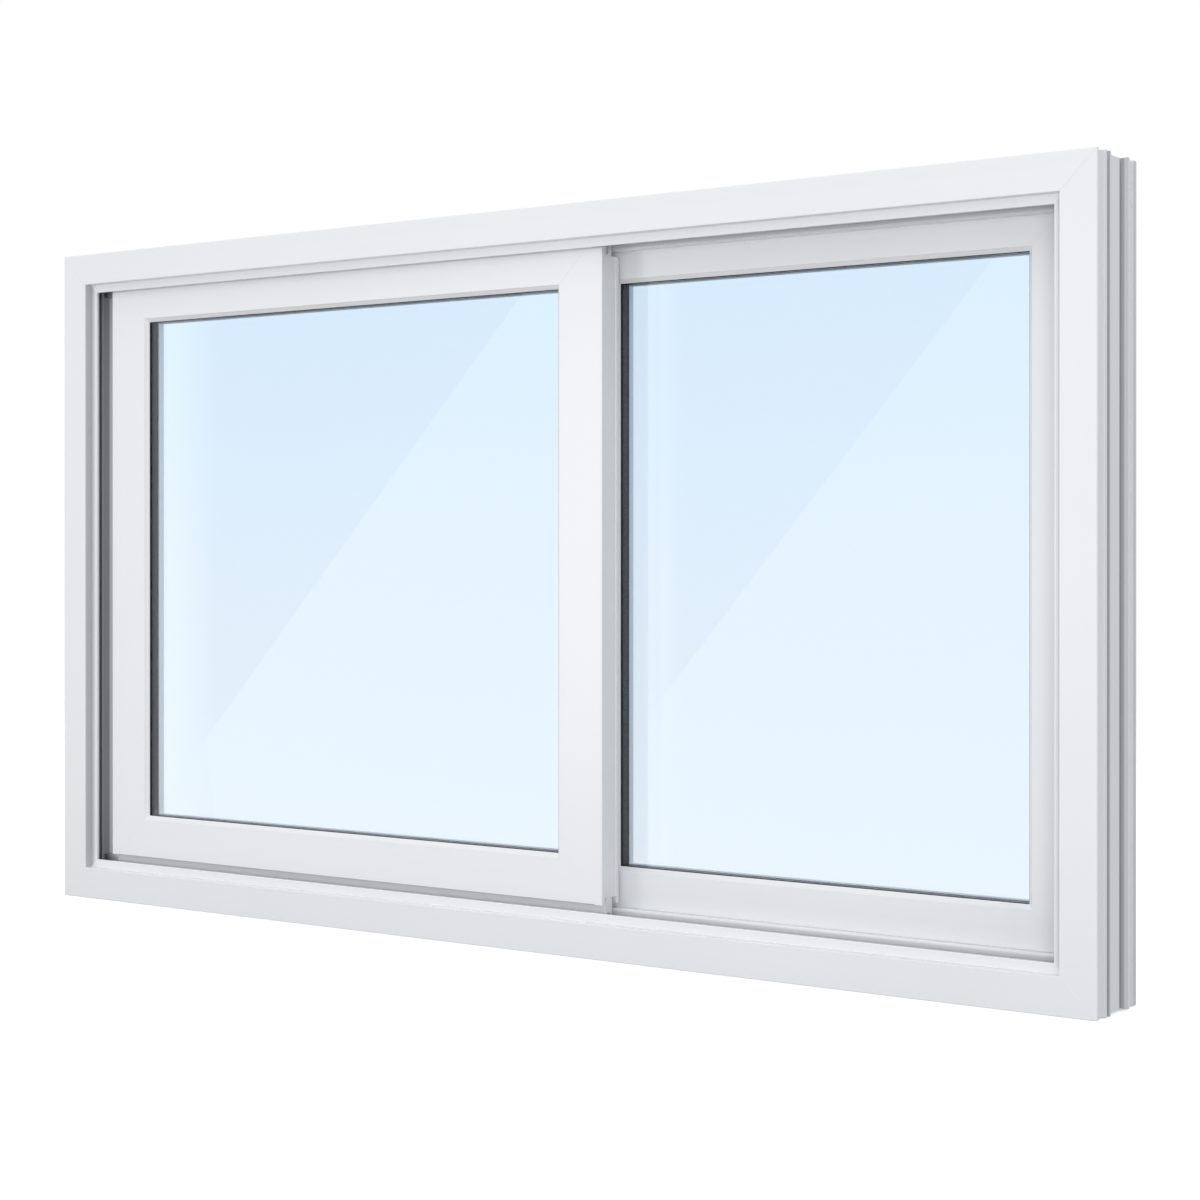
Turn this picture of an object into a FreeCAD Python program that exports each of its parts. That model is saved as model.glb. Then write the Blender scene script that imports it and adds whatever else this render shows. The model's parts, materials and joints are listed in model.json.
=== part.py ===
import FreeCAD, Part
import os
import Sketcher

# A horizontal sliding window: a mitred frame with two tracks, a fixed sash in the rear track
# and a sash on rollers in the front track.
# X runs along the sill, Y into the window from its front face, Z up from the sill's underside.
# Sections are drawn with u, inward from the outer edge, and v, back from the front face.

SIZES = {
    # frame
    "window_width": 1200.0,
    "window_height": 695.0,
    "frame_face": 32.5,
    "reveal_depth": 9.0,
    "fin_height": 41.0,
    "fin_thickness": 3.5,
    "rear_fin_thickness": 4.5,
    "track_floor": 20.0,
    "rib_height": 5.0,
    "rib_width": 9.0,
    "edge_radius": 0.8,
    # back of the frame, where it meets the wall
    "lip_width": 3.0,
    "lip_recess": 1.4,
    "ridge_front": 16.0,
    "ridge_back": 28.0,
    "key_slot_width": 4.0,
    "key_slot_depth": 4.0,
    "back_channel_end": 49.5,
    "back_channel_depth": 2.0,
    "back_groove_width": 4.5,
    "back_groove_depth": 3.0,
    "back_slope": 8.0,
    "rear_ridge_end": 65.0,
    "rear_lip_width": 8.0,
    "rear_lip_recess": 0.8,
    "rear_slope_fall": 2.4,
    # track rails and head guides
    "rail_thickness": 3.0,
    "rail_seat": 4.0,
    "rail_reach": 37.0,
    "rail_radius": 0.9,
    # strips on the sill and the head between the tracks
    "step_front": 40.5,
    "step_width": 9.0,
    "step_top": 42.3,
    "step_wall": 2.0,
    "step_radius": 2.4,
    # drain slots through the sill's rear fin
    "drain_length": 30.0,
    "drain_height": 5.0,
    "drain_spacing": 400.0,
    # sash sections
    "sash_thickness": 27.5,
    "sash_gap": 5.0,
    "track_line": 12.5,
    "flange_thickness": 4.5,
    "foot_groove": 6.0,
    "head_groove": 13.0,
    "open_head_groove": 16.0,
    "side_recess": 0.8,
    "bevel_rise": 4.0,
    "bevel_depth": 4.0,
    "bevel_lip": 1.6,
    "bevel_step": 1.0,
    "rebate_front": 4.5,
    "rebate_depth": 13.0,
    "sash_radius": 0.8,
    # glazing
    "pane_thickness": 3.0,
    "pane_cover": 11.0,
    "cavity": 8.0,
    "spacer_width": 7.0,
    "spacer_show": 0.2,
    "gasket_thickness": 1.0,
    "gasket_width": 7.0,
    "gasket_show": 0.3,
    "bead_show": 0.8,
    "bead_slope_rise": 0.8,
    "bead_slope_depth": 1.5,
    # how far the closed sashes stand from the jambs and lap each other
    "jamb_gap": 31.4,
    "meeting_lap": 31.6,
    # sliding sash, as it stands a little open
    "sash_open": 25.0,
    "sliding_width": 649.2,
    "sliding_bottom": 47.3,
    "sliding_head_gap": 31.5,
    "sliding_stile_face": 53.0,
    "sliding_rail_face": 44.3,
    # fixed sash
    "fixed_bottom": 41.5,
    "fixed_head_gap": 33.0,
    "fixed_stile_face": 52.0,
    "fixed_rail_face": 38.0,
    "packer_length": 60.0,
    "packer_inset": 70.0,
    "packer_width": 11.0,
    # running gear of the sliding sash
    "runner_width": 10.0,
    "runner_drop": 14.3,
    "runner_wall": 2.5,
    "runner_inset": 1.0,
    "roller_radius": 5.0,
    "roller_groove": 0.4,
    "roller_rim": 0.6,
    "roller_width": 4.0,
    "roller_inset": 60.0,
    "roller_lift": 0.3,
    "axle_radius": 1.5,
    "axle_play": 0.05,
    "axle_seat": 1.5,
    "head_block_length": 40.0,
    "head_block_inset": 2.0,
    "head_block_play": 1.0,
    "head_block_web": 2.0,
}


class Size:
    """A length with its value in millimetres and the formula that gives it from the sheet."""

    def __init__(self, value, formula):
        self.value = value
        self.formula = formula

    def __add__(self, other):
        other = as_size(other)
        return Size(self.value + other.value, f"({self.formula} + {other.formula})")

    def __sub__(self, other):
        other = as_size(other)
        return Size(self.value - other.value, f"({self.formula} - {other.formula})")

    def __mul__(self, other):
        other = as_size(other)
        return Size(self.value * other.value, f"({self.formula} * {other.formula})")

    def __truediv__(self, other):
        other = as_size(other)
        return Size(self.value / other.value, f"({self.formula} / {other.formula})")

    def __neg__(self):
        return Size(-self.value, f"(-{self.formula})")

    def __radd__(self, other):
        return as_size(other) + self

    def __rsub__(self, other):
        return as_size(other) - self


def as_size(value):
    return value if isinstance(value, Size) else Size(float(value), repr(float(value)))


doc = FreeCAD.newDocument("SlidingWindow")
sheet = doc.addObject("Spreadsheet::Sheet", "Sizes")
size = {}
for row, (name, value) in enumerate(SIZES.items(), start=1):
    sheet.set(f"A{row}", name)
    sheet.set(f"B{row}", str(value))
    sheet.setAlias(f"B{row}", name)
    size[name] = Size(value, f"Sizes.{name}")
doc.recompute()
sub_parts = []

half_width = size["window_width"] / 2
fin_back = size["reveal_depth"] + size["fin_thickness"]
sliding_front = fin_back + size["sash_gap"]
fixed_front = sliding_front + size["sash_thickness"] + size["sash_gap"]
fixed_back = fixed_front + size["sash_thickness"]
frame_depth = fixed_back + size["rear_fin_thickness"]
frame_front = -frame_depth / 2
rib_top = size["track_floor"] + size["rib_height"]
pane_front = size["rebate_front"] + size["gasket_thickness"]
cavity_front = pane_front + size["pane_thickness"]
cavity_back = cavity_front + size["cavity"]
pane_back = cavity_back + size["pane_thickness"]
bead_front = pane_back + size["gasket_thickness"]


class Box:
    """A rectangle in the window's face, from low x and z to high x and z."""

    def __init__(self, left, right, bottom, top):
        self.left, self.right, self.bottom, self.top = left, right, bottom, top
        self.width = right - left
        self.height = top - bottom
        self.middle_x = (left + right) / 2
        self.middle_z = (bottom + top) / 2

    def grown(self, across, up):
        return Box(self.left - across, self.right + across, self.bottom - up, self.top + up)


window = Box(-half_width, half_width, as_size(0), size["window_height"])
sliding_left = size["jamb_gap"] + size["sash_open"] - half_width
sliding = Box(
    sliding_left,
    sliding_left + size["sliding_width"],
    size["sliding_bottom"],
    size["window_height"] - size["sliding_head_gap"],
)
fixed = Box(
    size["jamb_gap"] - half_width + size["sliding_width"] - size["meeting_lap"],
    half_width - size["jamb_gap"],
    size["fixed_bottom"],
    size["window_height"] - size["fixed_head_gap"],
)


def new_body(label):
    body = doc.addObject("PartDesign::Body", label)
    body.Label = label
    sub_parts.append(body)
    return body


def add_sketch(body, role, name):
    plane = next(item for item in body.Origin.OriginFeatures if item.Role == role)
    sketch = body.newObject("Sketcher::SketchObject", name)
    sketch.AttachmentSupport = [(plane, "")]
    sketch.MapMode = "FlatFace"
    return sketch


def fix_point(sketch, geometry, end, x, y):
    for kind, axis, place in (("DistanceX", -2, as_size(x)), ("DistanceY", -1, as_size(y))):
        if place.value == 0:
            sketch.addConstraint(Sketcher.Constraint("PointOnObject", geometry, end, axis))
        else:
            index = sketch.addConstraint(Sketcher.Constraint(kind, -1, 1, geometry, end, place.value))
            sketch.setExpression(f"Constraints[{index}]", place.formula)


def add_loop(sketch, corners):
    points = [FreeCAD.Vector(as_size(x).value, as_size(y).value, 0) for x, y in corners]
    first = sketch.GeometryCount
    count = len(points)
    sketch.addGeometry([Part.LineSegment(points[i], points[(i + 1) % count]) for i in range(count)])
    sketch.addConstraint(
        [Sketcher.Constraint("Coincident", first + i, 2, first + (i + 1) % count, 1) for i in range(count)]
    )
    for i, (x, y) in enumerate(corners):
        fix_point(sketch, first + i, 1, x, y)


def rectangle(left, right, bottom, top):
    return [(left, bottom), (right, bottom), (right, top), (left, top)]


def add_pad(body, sketch, length, name):
    pad = body.newObject("PartDesign::Pad", name)
    pad.Profile = sketch
    pad.SideType = "Symmetric"
    pad.setExpression("Length", as_size(length).formula)
    return pad


def add_through_cut(body, sketch, name):
    cut = body.newObject("PartDesign::Pocket", name)
    cut.Profile = sketch
    cut.Type = "ThroughAll"
    cut.SideType = "Symmetric"
    return cut


def round_edges(body, feature, corners, radius, name):
    """Round the long edges of an extrusion that pass through the given corners of its section."""
    doc.recompute()
    into_section = feature.Profile[0].Placement.Rotation.inverted()
    picked = []
    for number, edge in enumerate(feature.Shape.Edges, start=1):
        ends = [into_section.multVec(vertex.Point) for vertex in edge.Vertexes]
        along = len(ends) == 2 and abs(ends[0].z - ends[1].z) > 1
        for u, v in corners:
            spot = FreeCAD.Vector(as_size(u).value, as_size(v).value, ends[0].z)
            if along and spot.distanceToPoint(ends[0]) < 0.01:
                picked.append(f"Edge{number}")
    fillet = body.newObject("PartDesign::Fillet", name)
    fillet.Base = (feature, picked)
    fillet.setExpression("Radius", radius.formula)
    return fillet


def place(item, x, y, z, turn=0.0):
    item.Placement = FreeCAD.Placement(
        FreeCAD.Vector(), FreeCAD.Rotation(FreeCAD.Vector(0, 1, 0), turn)
    )
    for axis, spot in (("x", x), ("y", y), ("z", z)):
        item.setExpression(f"Placement.Base.{axis}", as_size(spot).formula)


# Turn about Y that points u inward from each side, and where each side's outer edge is.
SIDE_TURN = {"left": 0.0, "right": 180.0, "bottom": -90.0, "top": 90.0}


def side_length(box, side):
    return box.height if side in ("left", "right") else box.width


def side_place(box, side):
    return {
        "left": (box.left, box.middle_z),
        "right": (box.right, box.middle_z),
        "bottom": (box.middle_x, box.bottom),
        "top": (box.middle_x, box.top),
    }[side]


def add_member(label, side, box, front, section, reach, mitre_start, rounded, radius):
    """Extrude a section along one side of a box and cut both ends to 45 degree mitres.

    The mitre runs from mitre_start on the section's outer side to reach on its inner edge."""
    body = new_body(label)
    length = side_length(box, side)
    outline = add_sketch(body, "XY_Plane", f"{label}_section")
    add_loop(outline, section)
    feature = add_pad(body, outline, length, f"{label}_bar")
    if rounded:
        feature = round_edges(body, feature, rounded, radius, f"{label}_rounding")
    ends = add_sketch(body, "XZ_Plane", f"{label}_mitres")
    for sign in (1, -1):
        tip = length / 2 * sign
        heel = (length / 2 - (reach - mitre_start)) * sign
        add_loop(ends, [(mitre_start, tip), (reach, heel), (reach, tip)])
    add_through_cut(body, ends, f"{label}_mitre_cut")
    x, z = side_place(box, side)
    place(body, x, frame_front + front, z, SIDE_TURN[side])
    return body


def track_rib(middle):
    half = size["rib_width"] / 2
    slot = size["rail_thickness"] / 2
    floor = size["track_floor"]
    slot_floor = rib_top - size["rail_seat"]
    return [
        (floor, middle - half),
        (rib_top, middle - half),
        (rib_top, middle - slot),
        (slot_floor, middle - slot),
        (slot_floor, middle + slot),
        (rib_top, middle + slot),
        (rib_top, middle + half),
        (floor, middle + half),
    ]


def frame_section():
    recess = size["lip_recess"]
    ridge_middle = (size["ridge_front"] + size["ridge_back"]) / 2
    key_half = size["key_slot_width"] / 2
    channel = size["back_channel_depth"]
    groove_back = size["back_channel_end"] + size["back_groove_width"]
    rear_lip = frame_depth - size["rear_lip_width"]
    outside = [
        (size["rear_lip_recess"], frame_depth),
        (size["rear_lip_recess"], rear_lip),
        (size["rear_slope_fall"], rear_lip),
        (0, size["rear_ridge_end"]),
        (0, groove_back + size["back_slope"]),
        (channel, groove_back),
        (channel + size["back_groove_depth"], groove_back),
        (channel + size["back_groove_depth"], size["back_channel_end"]),
        (channel, size["back_channel_end"]),
        (channel, size["ridge_back"]),
        (0, size["ridge_back"]),
        (0, ridge_middle + key_half),
        (size["key_slot_depth"], ridge_middle + key_half),
        (size["key_slot_depth"], ridge_middle - key_half),
        (0, ridge_middle - key_half),
        (0, size["ridge_front"]),
        (recess, size["ridge_front"]),
        (recess, size["lip_width"]),
        (0, size["lip_width"]),
    ]
    front_leg = [
        (0, 0),
        (size["frame_face"], 0),
        (size["frame_face"], size["reveal_depth"]),
        (size["fin_height"], size["reveal_depth"]),
        (size["fin_height"], fin_back),
        (size["track_floor"], fin_back),
    ]
    rear_leg = [
        (size["track_floor"], fixed_back),
        (size["fin_height"], fixed_back),
        (size["fin_height"], frame_depth),
    ]
    tracks = track_rib(sliding_front + size["track_line"]) + track_rib(fixed_front + size["track_line"])
    return outside + front_leg + tracks + rear_leg


def build_frame():
    rounded = [
        (0, 0),
        (size["frame_face"], 0),
        (size["fin_height"], size["reveal_depth"]),
        (size["fin_height"], fin_back),
        (size["fin_height"], frame_depth),
        (size["rear_lip_recess"], frame_depth),
    ]
    names = {"bottom": "frame_sill", "top": "frame_head", "left": "left_jamb", "right": "right_jamb"}
    for side, label in names.items():
        body = add_member(
            label, side, window, as_size(0), frame_section(), size["fin_height"], as_size(0),
            rounded, size["edge_radius"],
        )
        if side == "bottom":
            cut_drains(body, label)


def cut_drains(body, label):
    """Slots at the level of the track floor that let water out through the rear fin."""
    slots = add_sketch(body, "XZ_Plane", f"{label}_drains")
    slots.setExpression("AttachmentOffset.Base.z", (-fixed_back).formula)
    floor = size["track_floor"]
    half = size["drain_length"] / 2
    for step in (-1, 0, 1):
        middle = size["drain_spacing"] * step
        add_loop(slots, rectangle(floor, floor + size["drain_height"], middle - half, middle + half))
    cut = body.newObject("PartDesign::Pocket", f"{label}_drain_cut")
    cut.Profile = slots
    cut.setExpression("Length", size["rear_fin_thickness"].formula)


def add_track_strip(label, side, front):
    """A metal strip seated in the rib of one track, with a rounded free edge."""
    body = new_body(label)
    tip = size["rail_reach"]
    half = size["rail_thickness"] / 2
    run = window.width - rib_top * 2
    outline = add_sketch(body, "XY_Plane", f"{label}_section")
    add_loop(outline, rectangle(rib_top - size["rail_seat"], tip, -half, half))
    strip = add_pad(body, outline, run, f"{label}_strip")
    round_edges(body, strip, [(tip, -half), (tip, half)], size["rail_radius"], f"{label}_rounding")
    x, z = side_place(window, side)
    place(body, x, frame_front + front + size["track_line"], z, SIDE_TURN[side])


def build_tracks():
    for name, front in (("front", sliding_front), ("rear", fixed_front)):
        add_track_strip(f"{name}_track_rail", "bottom", front)
        add_track_strip(f"{name}_head_guide", "top", front)


def build_steps():
    """Channels with their backs to the opening, on the track floors between the two tracks."""
    floor = size["track_floor"]
    tip = size["step_top"]
    wall = size["step_wall"]
    back = size["step_width"]
    for label, side in (("sill_step", "bottom"), ("head_step", "top")):
        body = new_body(label)
        outline = add_sketch(body, "XY_Plane", f"{label}_section")
        add_loop(
            outline,
            [
                (floor, 0),
                (tip, 0),
                (tip, back),
                (floor, back),
                (floor, back - wall),
                (tip - wall, back - wall),
                (tip - wall, wall),
                (floor, wall),
            ],
        )
        channel = add_pad(body, outline, window.width - floor * 2, f"{label}_channel")
        round_edges(body, channel, [(tip, 0), (tip, back)], size["step_radius"], f"{label}_rounding")
        x, z = side_place(window, side)
        place(body, x, frame_front + size["step_front"], z, SIDE_TURN[side])


def sash_section(face, groove, groove_back):
    """A sash bar with a moulded front edge, a glazing rebate open to the back and a groove
    of the given depth in its outer side, from the front flange to groove_back."""
    rebate_floor = face - size["rebate_depth"]
    step = face - size["bevel_lip"]
    front = [
        (0, 0),
        (face - size["bevel_rise"], 0),
        (step - size["bevel_step"], size["bevel_lip"]),
        (step, size["bevel_depth"] - size["bevel_lip"]),
        (face, size["bevel_depth"]),
        (face, size["rebate_front"]),
        (rebate_floor, size["rebate_front"]),
        (rebate_floor, size["sash_thickness"]),
    ]
    back_flange = [(0, size["sash_thickness"]), (0, groove_back)]
    if groove_back.value == size["sash_thickness"].value:
        back_flange = []
    floor = [(groove, groove_back), (groove, size["flange_thickness"]), (0, size["flange_thickness"])]
    return front + back_flange + floor


def notch_stile_end(body, label, end, face, tip, depth, groove_back):
    """Carry the groove of a rail through one end of a stile."""
    notch = add_sketch(body, "XZ_Plane", f"{label}_{end}_notch")
    notch.setExpression("AttachmentOffset.Base.z", (-size["flange_thickness"]).formula)
    floor = tip - depth if tip.value > 0 else tip + depth
    add_loop(notch, rectangle(as_size(0), face, floor, tip))
    cut = body.newObject("PartDesign::Pocket", f"{label}_{end}_cut")
    cut.Profile = notch
    cut.setExpression("Length", (groove_back - size["flange_thickness"]).formula)


def bead_section():
    depth = size["sash_thickness"] - bead_front
    height = size["rebate_depth"] + size["bead_show"]
    return [
        (0, 0),
        (height, 0),
        (height, depth - size["bead_slope_depth"]),
        (height - size["bead_slope_rise"], depth),
        (0, depth),
    ]


def add_ring(label, outer, inner, front, thickness):
    """A flat rectangular ring, from its front face back."""
    body = new_body(label)
    outline = add_sketch(body, "XZ_Plane", f"{label}_outline")
    for box in (outer, inner):
        add_loop(outline, rectangle(box.left, box.right, box.bottom, box.top))
    pad = body.newObject("PartDesign::Pad", f"{label}_ring")
    pad.Profile = outline
    pad.Reversed = True
    pad.setExpression("Length", thickness.formula)
    place(body, 0, frame_front + front, 0)


def add_pane(label, box, front):
    pane = doc.addObject("Part::Box", label)
    pane.Label = label
    pane.setExpression("Length", box.width.formula)
    pane.setExpression("Width", size["pane_thickness"].formula)
    pane.setExpression("Height", box.height.formula)
    place(pane, box.left, frame_front + front, box.bottom)
    sub_parts.append(pane)


def build_sash(name, box, front):
    stile_face = size[f"{name}_stile_face"]
    rail_face = size[f"{name}_rail_face"]
    opening = box.grown(-stile_face, -rail_face)
    rails = opening.grown(rail_face, rail_face)
    flange_front = size["sash_thickness"] - size["flange_thickness"]
    grooves = {
        "top": (size["head_groove"], flange_front),
        "bottom": (size["foot_groove"], flange_front),
    }
    if name == "sliding":
        grooves["top"] = (size["open_head_groove"], size["sash_thickness"])
    for side, (groove, groove_back) in grooves.items():
        rounded = [(0, 0), (rail_face - size["bevel_rise"], 0)]
        add_member(
            f"{name}_{side}_rail", side, rails, front, sash_section(rail_face, groove, groove_back),
            rail_face, as_size(0), rounded, size["sash_radius"],
        )
    for side in ("left", "right"):
        label = f"{name}_{side}_stile"
        rounded = [(0, 0), (stile_face - size["bevel_rise"], 0), (0, size["sash_thickness"])]
        body = add_member(
            label, side, box, front, sash_section(stile_face, size["side_recess"], flange_front),
            stile_face, stile_face - rail_face, rounded, size["sash_radius"],
        )
        up = box.height / 2 if side == "left" else -box.height / 2
        notch_stile_end(body, label, "head", stile_face, up, *grooves["top"])
        notch_stile_end(body, label, "foot", stile_face, -up, *grooves["bottom"])
    build_glazing(name, opening, front)


def build_glazing(name, opening, front):
    glass = opening.grown(size["pane_cover"], size["pane_cover"])
    add_pane(f"{name}_outer_pane", glass, front + pane_front)
    add_pane(f"{name}_inner_pane", glass, front + cavity_back)
    spacer_inner = opening.grown(-size["spacer_show"], -size["spacer_show"])
    spacer_outer = spacer_inner.grown(size["spacer_width"], size["spacer_width"])
    add_ring(f"{name}_spacer", spacer_outer, spacer_inner, front + cavity_front, size["cavity"])
    gasket_inner = opening.grown(-size["gasket_show"], -size["gasket_show"])
    gasket_outer = gasket_inner.grown(size["gasket_width"], size["gasket_width"])
    for side, depth in (("outer", size["rebate_front"]), ("inner", pane_back)):
        add_ring(
            f"{name}_{side}_gasket", gasket_outer, gasket_inner, front + depth, size["gasket_thickness"]
        )
    rebate = opening.grown(size["rebate_depth"], size["rebate_depth"])
    for side in SIDE_TURN:
        add_member(
            f"{name}_{side}_bead", side, rebate, front + bead_front, bead_section(),
            size["rebate_depth"] + size["bead_show"], as_size(0), [], None,
        )


def add_block(label, x, bottom, top):
    """A packer as long as packer_length, centred on the rear track."""
    block = doc.addObject("Part::Box", label)
    block.Label = label
    block.setExpression("Length", size["packer_length"].formula)
    block.setExpression("Width", size["packer_width"].formula)
    block.setExpression("Height", (top - bottom).formula)
    front = fixed_front + size["track_line"] - size["packer_width"] / 2
    place(block, x, frame_front + front, bottom)
    sub_parts.append(block)


def build_packers():
    near = fixed.left + size["packer_inset"]
    far = fixed.right - size["packer_inset"] - size["packer_length"]
    foot_floor = fixed.bottom + size["foot_groove"]
    head_floor = fixed.top - size["head_groove"]
    guide_tip = size["window_height"] - size["rail_reach"]
    for end, x in (("left", near), ("right", far)):
        add_block(f"fixed_{end}_setting_block", x, size["rail_reach"], foot_floor)
        add_block(f"fixed_{end}_head_block", x, head_floor, guide_tip)


def roller_height():
    return size["rail_reach"] + size["roller_lift"] + size["roller_radius"]


def roller_spots():
    return (("left", sliding.left + size["roller_inset"]), ("right", sliding.right - size["roller_inset"]))


def build_runner():
    """An inverted channel in the groove of the bottom rail, over the front track rail."""
    body = new_body("runner")
    half = size["runner_width"] / 2
    slot = half - size["runner_wall"]
    top = sliding.bottom + size["foot_groove"]
    foot = sliding.bottom - size["runner_drop"]
    outline = add_sketch(body, "YZ_Plane", "runner_section")
    add_loop(
        outline,
        [
            (-half, foot),
            (-slot, foot),
            (-slot, top - size["runner_wall"] / 2),
            (slot, top - size["runner_wall"] / 2),
            (slot, foot),
            (half, foot),
            (half, top),
            (-half, top),
        ],
    )
    add_pad(body, outline, sliding.width - size["runner_inset"] * 2, "runner_channel")
    bores = add_sketch(body, "XZ_Plane", "runner_axle_bores")
    bore = size["axle_radius"] + size["axle_play"]
    for number, (_, x) in enumerate(roller_spots()):
        spot = FreeCAD.Vector((x - sliding.middle_x).value, roller_height().value, 0)
        bores.addGeometry(Part.Circle(spot, FreeCAD.Vector(0, 0, 1), bore.value))
        fix_point(bores, number, 3, x - sliding.middle_x, roller_height())
        radius = bores.addConstraint(Sketcher.Constraint("Radius", number, bore.value))
        bores.setExpression(f"Constraints[{radius}]", bore.formula)
    cut = body.newObject("PartDesign::Pocket", "runner_axle_cut")
    cut.Profile = bores
    cut.SideType = "Symmetric"
    cut.setExpression("Length", ((slot + size["axle_seat"]) * 2).formula)
    place(body, sliding.middle_x, frame_front + sliding_front + size["track_line"], 0)


def build_rollers():
    """Grooved wheels on axles that sit in the runner's walls."""
    wheel = size["roller_width"] / 2
    rim = wheel - size["roller_rim"]
    tread = size["roller_radius"]
    axle = size["runner_width"] / 2 - size["runner_wall"] + size["axle_seat"] - size["axle_play"]
    for end, x in roller_spots():
        label = f"{end}_roller"
        body = new_body(label)
        profile = add_sketch(body, "XY_Plane", f"{label}_profile")
        add_loop(
            profile,
            [
                (0, -axle),
                (size["axle_radius"], -axle),
                (size["axle_radius"], -wheel),
                (tread + size["roller_groove"], -wheel),
                (tread + size["roller_groove"], -rim),
                (tread, -rim + size["roller_groove"]),
                (tread, rim - size["roller_groove"]),
                (tread + size["roller_groove"], rim),
                (tread + size["roller_groove"], wheel),
                (size["axle_radius"], wheel),
                (size["axle_radius"], axle),
                (0, axle),
            ],
        )
        turned = body.newObject("PartDesign::Revolution", f"{label}_wheel")
        turned.Profile = profile
        turned.ReferenceAxis = (profile, ["V_Axis"])
        turned.Angle = 360
        place(body, x, frame_front + sliding_front + size["track_line"], roller_height())


def build_head_blocks():
    """Guide blocks in the groove of the top rail, astride the front head guide."""
    half = size["packer_width"] / 2
    slot = size["rail_thickness"] / 2 + size["head_block_play"]
    floor = sliding.top - size["open_head_groove"]
    slot_floor = floor + size["head_block_web"]
    reach = size["head_block_length"] / 2 + size["head_block_inset"]
    for end, x in (("left", sliding.left + reach), ("right", sliding.right - reach)):
        label = f"{end}_head_block"
        body = new_body(label)
        outline = add_sketch(body, "YZ_Plane", f"{label}_section")
        add_loop(
            outline,
            [
                (-half, floor),
                (half, floor),
                (half, sliding.top),
                (slot, sliding.top),
                (slot, slot_floor),
                (-slot, slot_floor),
                (-slot, sliding.top),
                (-half, sliding.top),
            ],
        )
        add_pad(body, outline, size["head_block_length"], f"{label}_bar")
        place(body, x, frame_front + sliding_front + size["track_line"], 0)


def check_document():
    doc.recompute()
    for item in doc.Objects:
        if "Invalid" in item.State or "Error" in item.State:
            raise RuntimeError(f"{item.Label} failed: {item.State}")
    for item in sub_parts:
        if item.Shape.isNull() or not item.Shape.isValid() or len(item.Shape.Solids) != 1:
            raise RuntimeError(f"{item.Label} is not one valid solid")


def write_steps():
    os.makedirs("parts", exist_ok=True)
    for item in sub_parts:
        item.Shape.exportStep(f"parts/{item.Label}.step")
        print(f"{item.Label}: {item.Shape.Volume / 1000:.1f} cm3")


build_frame()
build_tracks()
build_steps()
build_sash("fixed", fixed, fixed_front)
build_packers()
build_sash("sliding", sliding, sliding_front)
build_runner()
build_rollers()
build_head_blocks()
check_document()
write_steps()
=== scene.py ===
import json
import math
import bpy
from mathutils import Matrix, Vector

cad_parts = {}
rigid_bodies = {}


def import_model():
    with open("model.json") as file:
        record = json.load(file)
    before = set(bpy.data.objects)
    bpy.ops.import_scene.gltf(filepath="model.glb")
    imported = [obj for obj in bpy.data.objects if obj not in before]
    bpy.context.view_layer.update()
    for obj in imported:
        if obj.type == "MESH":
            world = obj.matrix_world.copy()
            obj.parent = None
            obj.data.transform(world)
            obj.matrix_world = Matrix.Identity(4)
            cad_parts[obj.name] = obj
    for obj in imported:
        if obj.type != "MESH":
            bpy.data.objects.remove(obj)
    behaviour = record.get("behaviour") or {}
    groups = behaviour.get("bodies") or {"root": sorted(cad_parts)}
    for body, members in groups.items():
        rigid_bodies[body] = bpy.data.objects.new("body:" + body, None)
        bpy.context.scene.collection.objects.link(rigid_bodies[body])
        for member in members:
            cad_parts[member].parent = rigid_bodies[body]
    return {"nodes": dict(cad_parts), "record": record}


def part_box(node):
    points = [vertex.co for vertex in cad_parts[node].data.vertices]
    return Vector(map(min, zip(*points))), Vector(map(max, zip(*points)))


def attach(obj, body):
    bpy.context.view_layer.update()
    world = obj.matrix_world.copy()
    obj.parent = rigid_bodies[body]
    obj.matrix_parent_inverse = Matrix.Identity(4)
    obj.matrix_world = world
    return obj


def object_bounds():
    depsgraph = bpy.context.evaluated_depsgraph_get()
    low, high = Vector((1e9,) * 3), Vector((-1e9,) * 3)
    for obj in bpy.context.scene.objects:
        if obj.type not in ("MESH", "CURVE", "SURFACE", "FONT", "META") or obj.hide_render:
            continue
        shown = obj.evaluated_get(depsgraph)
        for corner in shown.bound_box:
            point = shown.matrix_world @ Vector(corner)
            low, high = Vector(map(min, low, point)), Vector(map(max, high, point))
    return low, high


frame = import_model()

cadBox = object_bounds()
nodes = frame["nodes"]
slotOf = {part["node"]: part["material_slot"] for part in frame["record"]["subparts"]}
mm = 0.001
print("frame loaded:", len(nodes), "nodes")


class Flow:  # one socket of a node tree, with arithmetic
    def __init__(self, tree, socket):
        self.tree, self.socket = tree, socket

    def node(self, kind, settings=None, sockets=None, out=0):
        made = self.tree.nodes.new(kind)
        for name, value in (settings or {}).items():
            if name == "stops":
                setStops(made.color_ramp, value)
            else:
                setattr(made, name, value)
        for key, value in (sockets or {}).items():
            feed(self.tree, made.inputs[key], value)
        return Flow(self.tree, made.outputs[out])

    def math(self, operation, first, second=0.0):
        return self.node("ShaderNodeMath", {"operation": operation}, {0: first, 1: second})

    def mix(self, low, high):  # the flow itself is the share of high
        return self.node("ShaderNodeMix", {"data_type": "RGBA"}, {0: self, 6: low, 7: high}, out=2)

    def __add__(self, other): return self.math("ADD", self, other)
    def __radd__(self, other): return self.math("ADD", other, self)
    def __sub__(self, other): return self.math("SUBTRACT", self, other)
    def __rsub__(self, other): return self.math("SUBTRACT", other, self)
    def __mul__(self, other): return self.math("MULTIPLY", self, other)
    def __rmul__(self, other): return self.math("MULTIPLY", other, self)


def feed(tree, target, value):
    if isinstance(value, Flow):
        tree.links.new(value.socket, target)
    else:
        target.default_value = value


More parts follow.
